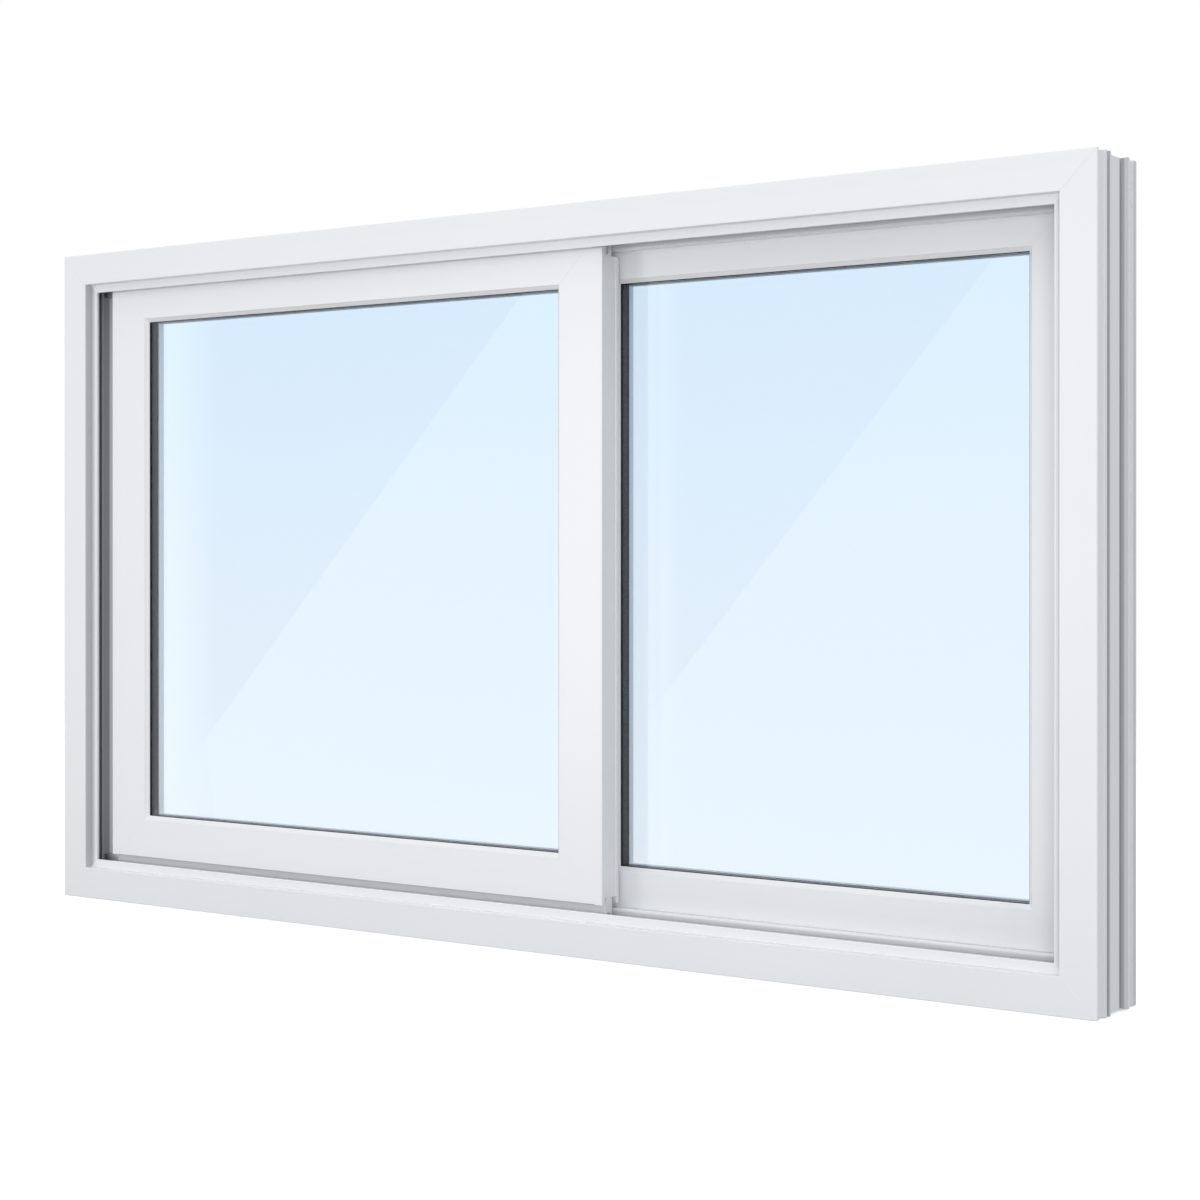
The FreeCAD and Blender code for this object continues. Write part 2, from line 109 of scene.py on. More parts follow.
def setStops(ramp, stops):
    while len(ramp.elements) < len(stops):
        ramp.elements.new(1.0)
    for element, (place, colour) in zip(ramp.elements, stops):
        element.position, element.color = place, colour


def rgb(red, green, blue):  # screen colour, 0 to 255, as scene light
    def light(value):
        share = value / 255
        return share / 12.92 if share <= 0.04045 else ((share + 0.055) / 1.055) ** 2.4
    return light(red), light(green), light(blue), 1.0


white = (1.0, 1.0, 1.0, 1.0)
black = (0.0, 0.0, 0.0, 1.0)


def startMaterial(name):
    material = bpy.data.materials.new(name)
    material.use_nodes = True
    tree = material.node_tree
    tree.nodes.clear()
    out = tree.nodes.new("ShaderNodeOutputMaterial")
    shader = tree.nodes.new("ShaderNodeBsdfPrincipled")
    tree.links.new(shader.outputs[0], out.inputs["Surface"])
    coords = tree.nodes.new("ShaderNodeTexCoord")
    return material, shader, Flow(tree, coords.outputs["Object"])


def setShader(shader, values):
    for name, value in values.items():
        feed(shader.id_data, shader.inputs[name], value)


def noise(spot, scale, detail, stretch=None):
    if stretch:
        spot = spot.node("ShaderNodeMapping", None, {"Vector": spot, "Scale": stretch})
    return spot.node("ShaderNodeTexNoise", None, {"Vector": spot, "Scale": scale, "Detail": detail})


def bump(height, look):
    return height.node("ShaderNodeBump", None, {
        "Height": height, "Strength": look["bumpStrength"], "Distance": look["bumpDepth"]})


def span(flow, low, high):  # 0 at low, 1 at high
    return flow.node("ShaderNodeMapRange", None, {"Value": flow, "From Min": low, "From Max": high})


# white extruded plastic: die lines run along the bar
whitePlastic = {
    "finishes": {
        "frame_white": {"low": rgb(236, 238, 241), "high": rgb(242, 244, 247), "rough": 0.20},
        "sash_white": {"low": rgb(239, 241, 244), "high": rgb(244, 246, 249), "rough": 0.18},
        "runner_white": {"low": rgb(236, 238, 241), "high": rgb(242, 244, 247), "rough": 0.37},
    },
    "dieLine": 180.0, "dieLineLength": 0.004, "grain": 1600.0, "cloud": 5.0, "cloudShare": 0.7,
    "lineRough": 0.06, "grainRough": 0.04, "bumpStrength": 0.03, "bumpDepth": 0.05 * mm,
    "specular": 0.5, "ior": 1.5,
}

# painted shade on the frame: darker in its tracks, on the jambs' reveals and in the outer grooves, placed by
# the distance in from its outer edge and the depth behind its front
framePaintedShade = {
    "tone": rgb(126, 127, 130),
    "track": (38 * mm, 23 * mm),  # each pair runs from no painted shade to full
    "trackDepth": (12.6 * mm, 77.4 * mm),  # between the fins
    "fade": (60 * mm, 35 * mm),  # the painted shade in the jambs' tracks is lighter at the back
    "reveal": (40 * mm, 32.5 * mm), "revealDepth": (0.7 * mm, 2 * mm),  # painted shade on the reveals, on the jambs only
    "revealEnd": 9.2 * mm, "revealShare": 0.5,
    "outside": 8 * mm,  # the ribbed outer side lies this near the edge
    "ribs": [  # depth in mm and share of painted shade along the outer side, darkest in its grooves
        (1.5, 0.0), (4.0, 0.15), (20.8, 0.15), (21.8, 0.65), (25.2, 0.65), (26.2, 0.15),
        (47.0, 0.15), (50.5, 0.3), (51.5, 0.75), (56.5, 0.75), (58.0, 0.42), (62.0, 0.38),
        (64.0, 0.05), (72.5, 0.08), (77.0, 0.48), (82.0, 0.15)],
}


# share of painted shade over the frame, by place in its section
def paintedShadeMask(spot, upright):
    low, high = cadBox
    wide = high.y - low.y
    across, depth, up = (spot.node("ShaderNodeSeparateXYZ", None, {0: spot}, out=i) for i in range(3))
    depth = depth - low.y
    fromSide = high.x - across.math("ABSOLUTE", across)
    fromEnd = up.math("MINIMUM", up - low.z, high.z - up)
    inward = fromSide.math("MINIMUM", fromSide, fromEnd)
    front, back = framePaintedShade["trackDepth"]
    between = depth.math("GREATER_THAN", depth, front) * depth.math("LESS_THAN", depth, back)
    outside = inward.math("LESS_THAN", inward, framePaintedShade["outside"])
    stops = [(place * mm / wide, (share, share, share, 1.0)) for place, share in framePaintedShade["ribs"]]
    ribs = depth.node("ShaderNodeValToRGB", {"stops": stops}, {"Fac": depth * (1 / wide)})
    inside = span(inward, *framePaintedShade["track"]) * between
    if upright:
        near = depth.math("LESS_THAN", depth, framePaintedShade["revealEnd"])
        reveal = span(inward, *framePaintedShade["reveal"]) * span(depth, *framePaintedShade["revealDepth"])
        inside = inside * span(depth, *framePaintedShade["fade"]) + reveal * near * framePaintedShade["revealShare"]
    return inside * (1 - outside) + ribs * outside


def makeWhite(slot, upright):
    look = whitePlastic["finishes"][slot]
    material, shader, spot = startMaterial(slot + ("_upright" if upright else "_across"))
    along = whitePlastic["dieLineLength"]
    stretch = (1.0, 1.0, along) if upright else (along, 1.0, 1.0)
    lines = noise(spot, whitePlastic["dieLine"], detail=1.0, stretch=stretch)
    grain = noise(spot, whitePlastic["grain"], detail=2.0)
    cloud = noise(spot, whitePlastic["cloud"], detail=3.0)
    share = whitePlastic["cloudShare"]
    colour = (cloud * share + lines * (1 - share)).mix(look["low"], look["high"])
    # painted shade: the frame's tracks, jamb reveals and outer grooves mixed towards the shade tone
    if slot == "frame_white":
        colour = paintedShadeMask(spot, upright).mix(colour, framePaintedShade["tone"])
    rough = lines * whitePlastic["lineRough"] + grain * whitePlastic["grainRough"]
    setShader(shader, {
        "Base Color": colour, "Roughness": look["rough"] + rough, "Normal": bump(lines, whitePlastic),
        "Specular IOR Level": whitePlastic["specular"], "IOR": whitePlastic["ior"],
    })
    return material


# pane glass: pale blue that deepens upwards, with a slow roller wave and faint wiping marks
paneGlass = {
    "foot": rgb(243, 249, 254), "middle": rgb(240, 248, 255), "head": rgb(235, 246, 255),
    "footHeight": 0.08, "headHeight": 0.62, "drift": 3.0, "driftShare": 0.12,
    "wave": 2.5, "bumpStrength": 0.02, "bumpDepth": 0.4 * mm,
    "wipe": 9.0, "wipeStretch": (1.0, 1.0, 0.3), "wipeRough": 0.012, "ior": 1.48,
}


def makeGlass():
    material, shader, spot = startMaterial("pane_glass")
    height = spot.node("ShaderNodeSeparateXYZ", None, {0: spot}, out=2)
    low, high = paneGlass["footHeight"], paneGlass["headHeight"]
    drift = (noise(spot, paneGlass["drift"], detail=2.0) - 0.5) * paneGlass["driftShare"]
    stops = [(0.0, paneGlass["foot"]), (0.5, paneGlass["middle"]), (1.0, paneGlass["head"])]
    tint = height.node("ShaderNodeValToRGB", {"stops": stops}, {
        "Fac": (height - low) * (1 / (high - low)) + drift})
    wipe = noise(spot, paneGlass["wipe"], detail=3.0, stretch=paneGlass["wipeStretch"])
    wave = noise(spot, paneGlass["wave"], detail=1.0)
    setShader(shader, {
        "Base Color": tint, "Roughness": wipe * paneGlass["wipeRough"], "Normal": bump(wave, paneGlass),
        "Transmission Weight": 1.0, "IOR": paneGlass["ior"],
    })
    return material


# everything small: base tones, roughness and grain
smallFinish = {
    "finishes": {
        "spacer_black": {"low": rgb(48, 52, 56), "high": rgb(60, 64, 68), "rough": 0.37, "grain": 900.0},
        "gasket_black": {"low": rgb(18, 19, 21), "high": rgb(31, 33, 36), "rough": 0.47, "grain": 1200.0},
        "block_grey": {"low": rgb(120, 123, 127), "high": rgb(138, 141, 145), "rough": 0.42, "grain": 800.0},
        # grey of the jamb seal, partly painted shade for the left jamb's pocket
        "seal_grey": {"low": rgb(128, 130, 133), "high": rgb(142, 144, 147), "rough": 0.52, "grain": 900.0},
        "roller_grey": {"low": rgb(150, 153, 157), "high": rgb(170, 173, 177), "rough": 0.30, "grain": 700.0},
        "track_metal": {"low": rgb(190, 192, 195), "high": rgb(214, 216, 219), "rough": 0.26, "grain": 900.0,
                        "metal": 1.0, "stretch": (0.01, 1.0, 1.0)},  # drawn along the bar
        "pile_grey": {"low": rgb(92, 94, 98), "high": rgb(136, 138, 142), "rough": 0.77, "grain": 2500.0},
        # near-black for holes: painted shade in their hollows
        "hole_dark": {"low": rgb(9, 9, 10), "high": rgb(17, 17, 18), "rough": 0.62, "grain": 900.0},
    },
    "cloud": 14.0, "cloudShare": 0.4, "grainRough": 0.1, "cloudRough": 0.06,
    "bumpStrength": 0.25, "bumpDepth": 0.05 * mm,
}


def makeSmall(name):
    look = smallFinish["finishes"][name]
    material, shader, spot = startMaterial(name)
    grain = noise(spot, look["grain"], detail=2.0, stretch=look.get("stretch"))
    cloud = noise(spot, smallFinish["cloud"], detail=3.0)
    share = smallFinish["cloudShare"]
    rough = grain * smallFinish["grainRough"] + cloud * smallFinish["cloudRough"]
    setShader(shader, {
        "Base Color": (grain * (1 - share) + cloud * share).mix(look["low"], look["high"]),
        "Roughness": look["rough"] + rough, "Metallic": look.get("metal", 0.0),
        "Normal": bump(grain, smallFinish),
    })
    return material


finish = {"glass": makeGlass()}
for name in smallFinish["finishes"]:
    finish[name] = makeSmall(name)
for name in whitePlastic["finishes"]:
    for upright in (True, False):
        finish[name, upright] = makeWhite(name, upright)


def dressNodes():
    for name, item in nodes.items():
        slot = slotOf[name]
        low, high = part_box(name)
        upright = high.z - low.z > high.x - low.x
        item.data.materials.clear()
        item.data.materials.append(finish.get(slot) or finish[slot, upright])
        item.visible_shadow = slot != "glass"  # clear panes let the lamps through


dressNodes()
print("materials:", len(bpy.data.materials))


class Tree:  # small builder for node trees that make geometry
    def __init__(self, name, inputs):
        self.tree = bpy.data.node_groups.new(name, "GeometryNodeTree")
        face = self.tree.interface
        face.new_socket("Geometry", in_out="INPUT", socket_type="NodeSocketGeometry")
        self.ids = {}
        for label, kind in inputs.items():
            socket = face.new_socket(label, in_out="INPUT", socket_type="NodeSocket" + kind)
            self.ids[label] = socket.identifier
        face.new_socket("Geometry", in_out="OUTPUT", socket_type="NodeSocketGeometry")
        self.start = self.tree.nodes.new("NodeGroupInput")
        self.end = self.tree.nodes.new("NodeGroupOutput")

    def put(self, kind, settings=None, sockets=None):
        made = self.tree.nodes.new(kind)
        for name, value in (settings or {}).items():
            setattr(made, name, value)
        for key, value in (sockets or {}).items():
            if isinstance(value, bpy.types.NodeSocket):
                self.tree.links.new(value, made.inputs[key])
            else:
                made.inputs[key].default_value = value
        return made

    def close(self, geometry):
        whole = self.put("GeometryNodeRealizeInstances", None, {"Geometry": geometry})
        painted = self.put("GeometryNodeSetMaterial", None, {
            "Geometry": whole.outputs[0], "Material": self.start.outputs["Material"]})
        self.tree.links.new(painted.outputs[0], self.end.inputs[0])


def runTree(tree, name, verts, edges, values, body):
    base = bpy.data.meshes.new(name + "_path")
    base.from_pydata(verts, edges, [])
    maker = bpy.data.objects.new(name + "_maker", base)
    bpy.context.scene.collection.objects.link(maker)
    modifier = maker.modifiers.new("nodes", "NODES")
    modifier.node_group = tree.tree
    for label, value in values.items():
        modifier[tree.ids[label]] = value
    bpy.context.view_layer.update()
    graph = bpy.context.evaluated_depsgraph_get()
    mesh = bpy.data.meshes.new_from_object(maker.evaluated_get(graph))
    mesh.name = name
    maker.modifiers.remove(modifier)
    bpy.data.objects.remove(maker)
    piece = bpy.data.objects.new(name, mesh)
    bpy.context.scene.collection.objects.link(piece)
    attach(piece, body)
    print(name + ":", len(mesh.vertices), "points")


def loopEdges(first, count, closed):
    return [(first + i, first + (i + 1) % count) for i in range(count if closed else count - 1)]


def windowBox(name, inset, y):  # a rectangle inside a CAD node's box, at depth y
    low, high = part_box(name)
    return [(low.x + inset, y, low.z + inset), (high.x - inset, y, low.z + inset),
            (high.x - inset, y, high.z - inset), (low.x + inset, y, high.z - inset)]


def makeSweepTree():  # a round strip along drawn lines
    tree = Tree("sweptStrip", {"Material": "Material", "Radius": "Float", "Sides": "Int"})
    given = tree.start.outputs
    line = tree.put("GeometryNodeMeshToCurve", None, {"Mesh": given["Geometry"]})
    ring = tree.put("GeometryNodeCurvePrimitiveCircle", {"mode": "RADIUS"}, {
        "Resolution": given["Sides"], "Radius": given["Radius"]})
    swept = tree.put("GeometryNodeCurveToMesh", None, {
        "Curve": line.outputs[0], "Profile Curve": ring.outputs[0], "Fill Caps": True})
    tree.close(swept.outputs[0])
    return tree


sweptStrip = makeSweepTree()

# lips resting on the glass: black rubber in front, the beads' own white edge behind
gasketLip = {"radius": 0.45 * mm, "inset": 6.9 * mm, "sides": 10, "sink": 0.35 * mm}


def buildLips(sash, body):
    outer, inner = f"{sash}_outer_gasket", f"{sash}_inner_gasket"
    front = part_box(outer)[0].y + gasketLip["sink"]
    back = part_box(inner)[1].y - gasketLip["sink"]
    for name, gasket, y, material, slot in (
            (f"{sash}_gasket_lip", outer, front, finish["gasket_black"], "gasket_black"),
            (f"{sash}_bead_lip", inner, back, finish["sash_white", True], "sash_white")):
        runTree(sweptStrip, name, windowBox(gasket, gasketLip["inset"], y), loopEdges(0, 4, True), {
            "Material": material, "Radius": gasketLip["radius"], "Sides": gasketLip["sides"]}, body)


# welded corner seams, along the profile where two bars meet
weldSeam = {
    "radius": 0.36 * mm, "sides": 8, "sink": 0.18 * mm, "start": 0.6 * mm,
    "reveal": 32.5 * mm, "edge": 0.5 * mm, "ledge": 9 * mm,  # the frame's section
    "fin": 40.6 * mm, "rearStart": 1.4 * mm,
    "bevel": [(4.0 * mm, 0.0), (2.6 * mm, 1.6 * mm), (1.6 * mm, 2.4 * mm)],  # the sashes' section
    "bevelEnd": 4 * mm, "bead": 13 * mm,
}


def cornerLines(low, high, profiles, offset=0.0):  # profiles hold (inward, depth) pairs
    verts, edges = [], []
    for profile in profiles:
        for signX, startX in ((1, low.x), (-1, high.x)):
            for signZ, startZ in ((1, low.z), (-1, high.z)):
                edges += loopEdges(len(verts), len(profile), False)
                verts += [(startX + signX * (inward + offset), low.y + depth, startZ + signZ * inward)
                          for inward, depth in profile]
    return verts, edges


def buildSeams(name, verts, edges, body, slot):
    runTree(sweptStrip, name, verts, edges, {
        "Material": finish[slot, False], "Radius": weldSeam["radius"],
        "Sides": weldSeam["sides"]}, body)


def buildFrameSeams():
    low, high = cadBox
    sink, reveal, edge = weldSeam["sink"], weldSeam["reveal"], weldSeam["edge"]
    behind = weldSeam["ledge"] + sink
    rear = high.y - low.y - sink
    verts, edges = cornerLines(low, high, [
        [(weldSeam["start"], sink), (reveal - edge, sink), (reveal - sink, edge),
         (reveal - sink, behind), (weldSeam["fin"], behind)],
        [(weldSeam["rearStart"], rear), (weldSeam["fin"], rear)]])
    buildSeams("frame_corner_seams", verts, edges, "frame", "frame_white")


def buildSashSeams(sash, body):
    low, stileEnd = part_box(f"{sash}_left_stile")
    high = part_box(f"{sash}_right_stile")[1]
    railLow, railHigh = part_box(f"{sash}_top_rail")
    face = railHigh.z - railLow.z
    sink = weldSeam["sink"]
    rear = high.y - low.y - sink
    bevel = [(face - back, deep + sink) for back, deep in weldSeam["bevel"]]
    verts, edges = cornerLines(low, high, [
        [(weldSeam["start"], sink), *bevel, (face - sink, weldSeam["bevelEnd"])],
        [(weldSeam["start"], rear), (face - weldSeam["bead"], rear)]], stileEnd.x - low.x - face)
    buildSeams(f"{sash}_corner_seams", verts, edges, body, "sash_white")


# spacer vents: rows of pin holes along the faces that look into the cavity, drawn as flat near-black discs
# whose dark is painted shade for the holes
spacerVents = {
    "radius": 0.45 * mm, "spacing": 7.0 * mm, "rise": 0.06 * mm, "sides": 8,
    "row": 1.6 * mm, "inset": 7 * mm, "end": 4 * mm,
}


def makeVentTree():
    tree = Tree("spacerVents", {
        "Material": "Material", "Radius": "Float", "Rise": "Float", "Spacing": "Float", "Sides": "Int"})
    given = tree.start.outputs
    line = tree.put("GeometryNodeMeshToCurve", None, {"Mesh": given["Geometry"]})
    dots = tree.put("GeometryNodeCurveToPoints", {"mode": "LENGTH"}, {
        "Curve": line.outputs[0], "Length": given["Spacing"]})
    hole = tree.put("GeometryNodeMeshCylinder", {"fill_type": "NGON"}, {
        "Vertices": given["Sides"], "Radius": given["Radius"], "Depth": given["Rise"]})
    along = tree.put("FunctionNodeAlignRotationToVector", {"axis": "X"}, {
        "Vector": dots.outputs["Tangent"]})
    faced = tree.put("FunctionNodeAlignRotationToVector", {"axis": "Y", "pivot_axis": "X"}, {
        "Rotation": along.outputs[0], "Vector": (0.0, 1.0, 0.0)})
    holes = tree.put("GeometryNodeInstanceOnPoints", None, {
        "Points": dots.outputs[0], "Instance": hole.outputs[0], "Rotation": faced.outputs[0]})
    tree.close(holes.outputs[0])
    return tree


ventTree = makeVentTree()


def buildVents(sash, body):
    low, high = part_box(f"{sash}_spacer")
    middle = (low.y + high.y) / 2
    verts, edges = [], []
    for row in (-1, 1):
        box = windowBox(f"{sash}_spacer", spacerVents["inset"], middle + row * spacerVents["row"])
        for i in range(4):
            start, end = Vector(box[i]), Vector(box[(i + 1) % 4])
            step = (end - start).normalized() * spacerVents["end"]
            edges.append((len(verts), len(verts) + 1))
            verts += [start + step, end - step]
    runTree(ventTree, f"{sash}_spacer_vents", verts, edges, {
        "Material": finish["hole_dark"], "Radius": spacerVents["radius"], "Rise": spacerVents["rise"],
        "Spacing": spacerVents["spacing"], "Sides": spacerVents["sides"]}, body)


for sash, body in (("fixed", "frame"), ("sliding", "sliding_sash")):
    buildLips(sash, body)
    buildSashSeams(sash, body)
    buildVents(sash, body)
buildFrameSeams()

# brush pile behind the front fins: a backing strip with fibres standing on it
brushPile = {
    "fibre": 4.0 * mm, "thick": 0.45 * mm, "spacing": 0.9 * mm, "backing": 1.1 * mm,
    "lean": 0.16, "spin": 3.14, "grow": (0.86, 1.0), "seed": 7, "sides": 4, "backingSides": 8,
    "depth": 12.5 * mm, "rise": 38.2 * mm, "end": 44 * mm,
}


def makePileTree():
    tree = Tree("brushPile", {
        "Material": "Material", "Fibre": "Float", "Thick": "Float", "Spacing": "Float",
        "Backing": "Float", "Lean": "Float", "Seed": "Int"})
    given = tree.start.outputs
    line = tree.put("GeometryNodeMeshToCurve", None, {"Mesh": given["Geometry"]})
    dots = tree.put("GeometryNodeCurveToPoints", {"mode": "LENGTH"}, {
        "Curve": line.outputs[0], "Length": given["Spacing"]})
    tuft = tree.put("GeometryNodeMeshCone", {"fill_type": "NONE"}, {
        "Vertices": brushPile["sides"], "Side Segments": 1, "Radius Top": given["Thick"],
        "Radius Bottom": given["Thick"], "Depth": given["Fibre"]})
    minus = tree.put("ShaderNodeMath", {"operation": "MULTIPLY"}, {0: given["Lean"], 1: -1.0})
    highTurn = tree.put("ShaderNodeCombineXYZ", None, {0: given["Lean"], 2: brushPile["spin"]})
    lowTurn = tree.put("ShaderNodeCombineXYZ", None, {0: minus.outputs[0], 2: 0.0})
    turn = tree.put("FunctionNodeRandomValue", {"data_type": "FLOAT_VECTOR"}, {
        0: lowTurn.outputs[0], 1: highTurn.outputs[0], "Seed": given["Seed"]})
    small, full = brushPile["grow"]
    grow = tree.put("FunctionNodeRandomValue", {"data_type": "FLOAT"}, {
        2: small, 3: full, "Seed": given["Seed"]})
    lay = tree.put("ShaderNodeVectorMath", {"operation": "ADD"}, {
        0: turn.outputs[0], 1: (math.pi / 2, 0.0, 0.0)})
    fibres = tree.put("GeometryNodeInstanceOnPoints", None, {
        "Points": dots.outputs[0], "Instance": tuft.outputs[0],
        "Rotation": lay.outputs[0], "Scale": grow.outputs[1]})
    ring = tree.put("GeometryNodeCurvePrimitiveCircle", {"mode": "RADIUS"}, {
        "Resolution": brushPile["backingSides"], "Radius": given["Backing"]})
    strip = tree.put("GeometryNodeCurveToMesh", None, {
        "Curve": line.outputs[0], "Profile Curve": ring.outputs[0], "Fill Caps": True})
    both = tree.put("GeometryNodeJoinGeometry")
    tree.tree.links.new(strip.outputs[0], both.inputs[0])
    tree.tree.links.new(fibres.outputs[0], both.inputs[0])
    tree.close(both.outputs[0])
    return tree


def buildPile():
    low, high = cadBox
    y = low.y + brushPile["depth"] + brushPile["fibre"] / 2
    left, right = low.x + brushPile["end"], high.x - brushPile["end"]
    foot, head = low.z + brushPile["rise"], high.z - brushPile["rise"]
    verts = [(left, y, foot), (right, y, foot), (left, y, head), (right, y, head)]
    runTree(makePileTree(), "fin_brush_pile", verts, [(0, 1), (2, 3)], {
        "Material": finish["pile_grey"], "Fibre": brushPile["fibre"], "Thick": brushPile["thick"],
        "Spacing": brushPile["spacing"], "Backing": brushPile["backing"], "Lean": brushPile["lean"],
        "Seed": brushPile["seed"]}, "frame")


def makeBlockTree():  # plain blocks on points
    tree = Tree("blocks", {"Material": "Material", "Size": "Vector"})
    dots = tree.put("GeometryNodeMeshToPoints", None, {"Mesh": tree.start.outputs["Geometry"]})
    cube = tree.put("GeometryNodeMeshCube", None, {"Size": tree.start.outputs["Size"]})
    blocks = tree.put("GeometryNodeInstanceOnPoints", None, {
        "Points": dots.outputs[0], "Instance": cube.outputs[0]})
    tree.close(blocks.outputs[0])
    return tree


blockTree = makeBlockTree()

# runner plugs: close the ends of the runner over the rail
runnerPlug = {"long": 8.0 * mm, "wide": 4.9 * mm, "foot": 6.0 * mm, "head": 1.3 * mm}


def buildPlugs():
    low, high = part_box("runner")
    foot, head = low.z + runnerPlug["foot"], high.z - runnerPlug["head"]
    half = runnerPlug["long"] / 2
    verts = [(x, (low.y + high.y) / 2, (foot + head) / 2) for x in (low.x + half, high.x - half)]
    runTree(blockTree, "runner_plugs", verts, [], {
        "Material": finish["runner_white", True],
        "Size": (runnerPlug["long"], runnerPlug["wide"], head - foot)}, "sliding_sash")


# jamb seal: a flat rubber strip on the left jamb's track floor, where the sash closes; its grey is also
# painted shade for the dark pocket there
jambShadeSeal = {
    "thick": 3.0 * mm, "wide": 9.0 * mm, "depth": 39.5 * mm, "floor": 20.0 * mm, "short": 42.5 * mm,
}


def buildJambShadeSeal():
    low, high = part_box("left_jamb")
    long = high.z - low.z - jambShadeSeal["short"] * 2
    spot = (low.x + jambShadeSeal["floor"] + jambShadeSeal["thick"] / 2,
            low.y + jambShadeSeal["depth"], (low.z + high.z) / 2)
    runTree(blockTree, "jamb_seal", [spot], [], {
        "Material": finish["seal_grey"],
        "Size": (jambShadeSeal["thick"], jambShadeSeal["wide"], long)}, "frame")


buildPile()
buildPlugs()
buildJambShadeSeal()
print("small pieces built")

# studio: white surround, soft boxes, pale floor
studio = {
    "backdrop": 1.0, "surround": 0.384,  # light from all round, and more from above and the sides
    "lobes": [((0.0, 0.0, 1.0), 0.785), ((-0.85, -0.5, 0.1), 0.1), ((1.0, 0.0, 0.0), 0.16)],
    "lamps": {
        "key": {"power": 70.0, "size": 2.0, "spot": (2.6, -4.2, 0.35)},
        "fill": {"power": 41.0, "size": 1.6, "spot": (-3.0, -4.6, 0.35)},
        "back": {"power": 1.5, "size": 0.8, "spot": (0.45, 0.9, 0.35)},
    },
    "aim": (0.0, 0.0, 0.35),
    "floorTone": rgb(246, 246, 247), "floorRough": 0.9, "floorGlow": 0.30,
    "floorReach": 4.0, "floorSolid": 1.0, "floorFade": 3.6,
}


def buildWorld():
    world = bpy.data.worlds.new("studio")
    bpy.context.scene.world = world
    world.use_nodes = True
    tree = world.node_tree
    tree.nodes.clear()
    out = tree.nodes.new("ShaderNodeOutputWorld")
    coords = Flow(tree, tree.nodes.new("ShaderNodeTexCoord").outputs["Generated"])
    path = tree.nodes.new("ShaderNodeLightPath")
    seen, through, matt = (Flow(tree, path.outputs[name]) for name in (
        "Is Camera Ray", "Is Transmission Ray", "Diffuse Depth"))
    direct = 1 - matt.math("MINIMUM", matt, 1.0)
    plain = seen.math("MAXIMUM", seen, through) * direct  # as the eye meets it
    light = studio["surround"]
    for towards, strength in studio["lobes"]:
        facing = coords.node("ShaderNodeVectorMath", {"operation": "DOT_PRODUCT"}, {
            0: coords, 1: towards}, out=1)
        light = facing.math("MAXIMUM", facing, 0.0) * strength + light
    shade = plain.node("ShaderNodeBackground", None, {
        "Color": white, "Strength": plain * studio["backdrop"] + (1 - plain) * light})
    tree.links.new(shade.socket, out.inputs["Surface"])


def addSoftBox(name, power, size, spot):
    lamp = bpy.data.lights.new(name, "AREA")
    lamp.shape, lamp.size, lamp.energy = "SQUARE", size, power
    item = bpy.data.objects.new(name, lamp)
    item.location = spot
    item.rotation_euler = (Vector(studio["aim"]) - Vector(spot)).to_track_quat("-Z", "Y").to_euler()
    bpy.context.scene.collection.objects.link(item)
    item.visible_camera = item.visible_glossy = item.visible_transmission = False


def addFloor():
    reach = studio["floorReach"]
    mesh = bpy.data.meshes.new("studio_floor")
    corners = [(-reach, -reach, 0), (reach, -reach, 0), (reach, reach, 0), (-reach, reach, 0)]
    mesh.from_pydata(corners, [], [(0, 1, 2, 3)])
    floor = bpy.data.objects.new("studio_floor", mesh)
    bpy.context.scene.collection.objects.link(floor)
    material, shader, spot = startMaterial("studio_floor")
    away = spot.node("ShaderNodeVectorMath", {"operation": "LENGTH"}, {0: spot}, out=1)
    near, far = studio["floorSolid"], studio["floorFade"]
    setShader(shader, {
        "Base Color": studio["floorTone"], "Roughness": studio["floorRough"], "Specular IOR Level": 0.0,
        "Emission Color": white, "Emission Strength": studio["floorGlow"],
        "Alpha": (far - away) * (1 / (far - near))})
    mesh.materials.append(material)
    # the glow is for the eye, not for the bars or the panes
    floor.visible_diffuse = floor.visible_glossy = floor.visible_transmission = False


# camera at the photograph's place
viewpoint = {
    "spot": (1.3622, -1.7938, 0.3717), "tilt": 89.911, "turn": 35.415,
    "sensor": 36.0, "lens": 70.66, "rise": -0.0355, "clip": (0.01, 200.0),
}


def addCamera():
    data = bpy.data.cameras.new("viewpoint")
    data.sensor_width, data.lens = viewpoint["sensor"], viewpoint["lens"]
    data.shift_y = viewpoint["rise"]
    data.clip_start, data.clip_end = viewpoint["clip"]
    camera = bpy.data.objects.new("viewpoint", data)
    camera.location = viewpoint["spot"]
    camera.rotation_euler = (math.radians(viewpoint["tilt"]), 0.0, math.radians(viewpoint["turn"]))
    bpy.context.scene.collection.objects.link(camera)
    bpy.context.scene.camera = camera


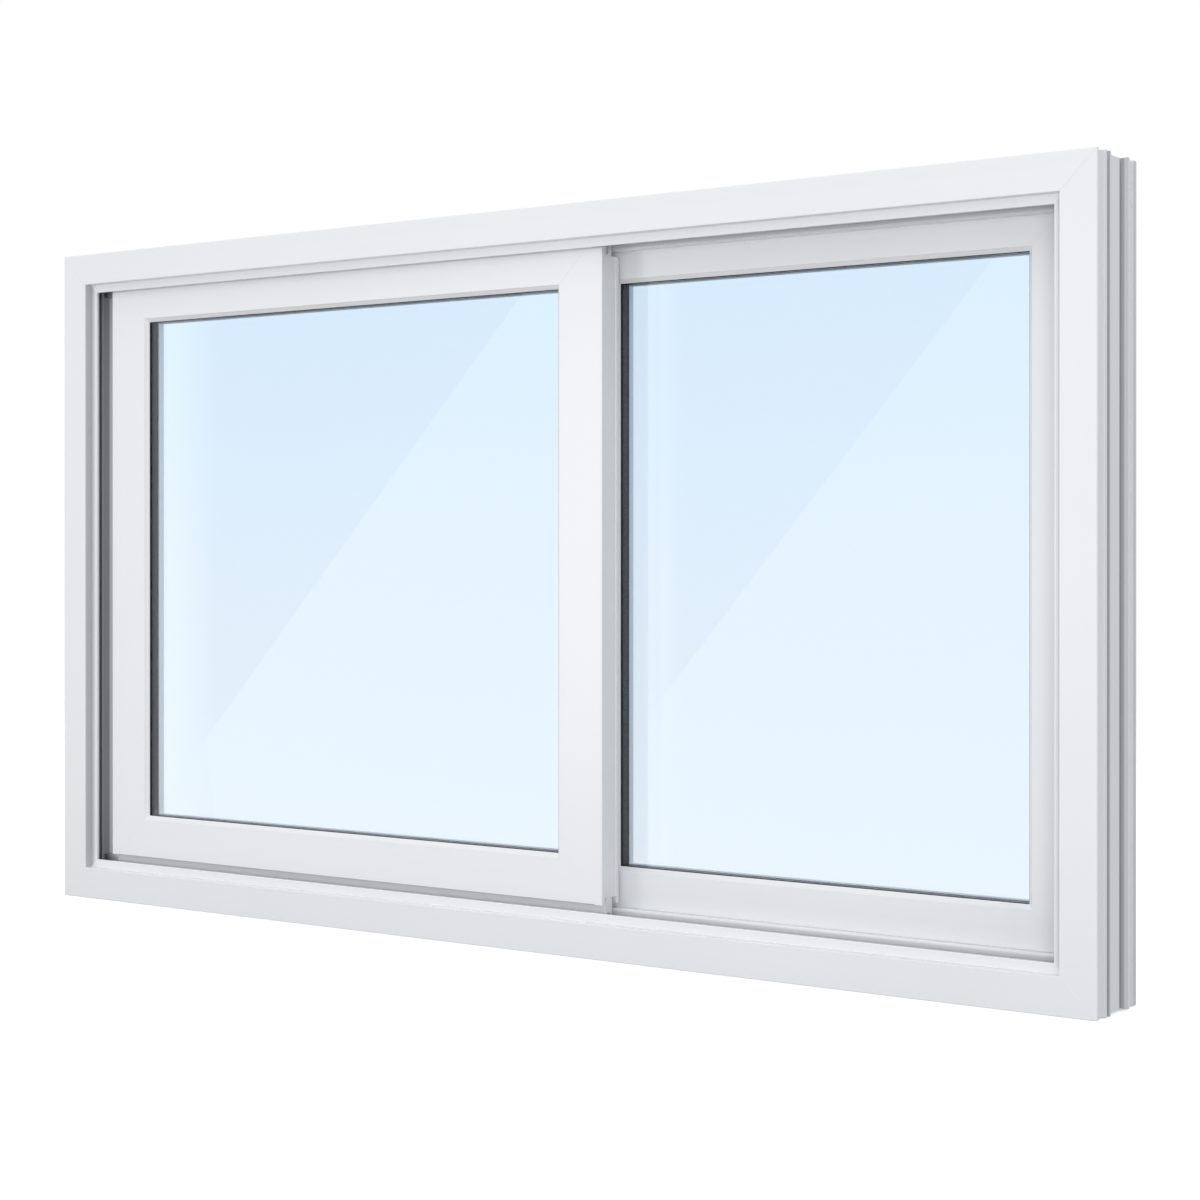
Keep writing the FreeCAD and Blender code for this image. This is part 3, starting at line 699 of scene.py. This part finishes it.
# gloss cards: each stands where a pane mirrors it over the given patch of the pane, in metres
glossCard = {
    "reach": 1.2, "top": 0.64, "foot": 0.06, "slantStrength": 1.5,
    "panes": {
        "sliding_outer_pane": {
            "slant": (0.03, -0.52), "right": 0.09, "glow": (-0.480, -0.39), "glowStrength": 2.6},
        "fixed_outer_pane": {
            "slant": (0.50, -0.01), "right": 0.62, "glow": (0.074, 0.17), "glowStrength": 4.5},
    },
}


def addGlossCard(pane, name, patch, strength, levels):
    eye = Vector(viewpoint["spot"])
    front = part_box(pane)[0].y
    corners = []
    for x, z in patch:
        spot = Vector((x, front, z))
        away = spot - eye
        corners.append(spot + Vector((away.x, -away.y, away.z)) * glossCard["reach"])
    mesh = bpy.data.meshes.new(name)
    mesh.from_pydata(corners, [], [(0, 1, 2, 3)])
    mesh.attributes.new("glow", "FLOAT", "POINT").data.foreach_set("value", levels)
    card = bpy.data.objects.new(name, mesh)
    bpy.context.scene.collection.objects.link(card)
    material, shader, spot = startMaterial(name)
    glow = spot.node("ShaderNodeAttribute", {"attribute_name": "glow"}, None, out=2)
    setShader(shader, {
        "Base Color": black, "Specular IOR Level": 0.0, "Alpha": glow,
        "Emission Color": white, "Emission Strength": strength})
    mesh.materials.append(material)
    card.visible_camera = card.visible_diffuse = card.visible_shadow = card.visible_transmission = False


def addGlossCards(pane, look):
    top, foot = glossCard["top"], glossCard["foot"]
    (slantTop, slantFoot), right = look["slant"], look["right"]
    slant = [(slantTop, top), (right, top), (right, foot), (slantFoot, foot)]
    addGlossCard(pane, pane + "_slant", slant, glossCard["slantStrength"], (1.0, 1.0, 1.0, 1.0))
    near, far = look["glow"]
    glow = [(near, top), (far, top), (far, foot), (near, foot)]
    addGlossCard(pane, pane + "_glow", glow, look["glowStrength"], (1.0, 0.0, 0.0, 1.0))


buildWorld()
for name, lamp in studio["lamps"].items():
    addSoftBox(name, **lamp)
addFloor()
addCamera()
for pane, look in glossCard["panes"].items():
    addGlossCards(pane, look)
view = bpy.context.scene.view_settings
view.view_transform, view.look = "Standard", "None"
print("studio set")
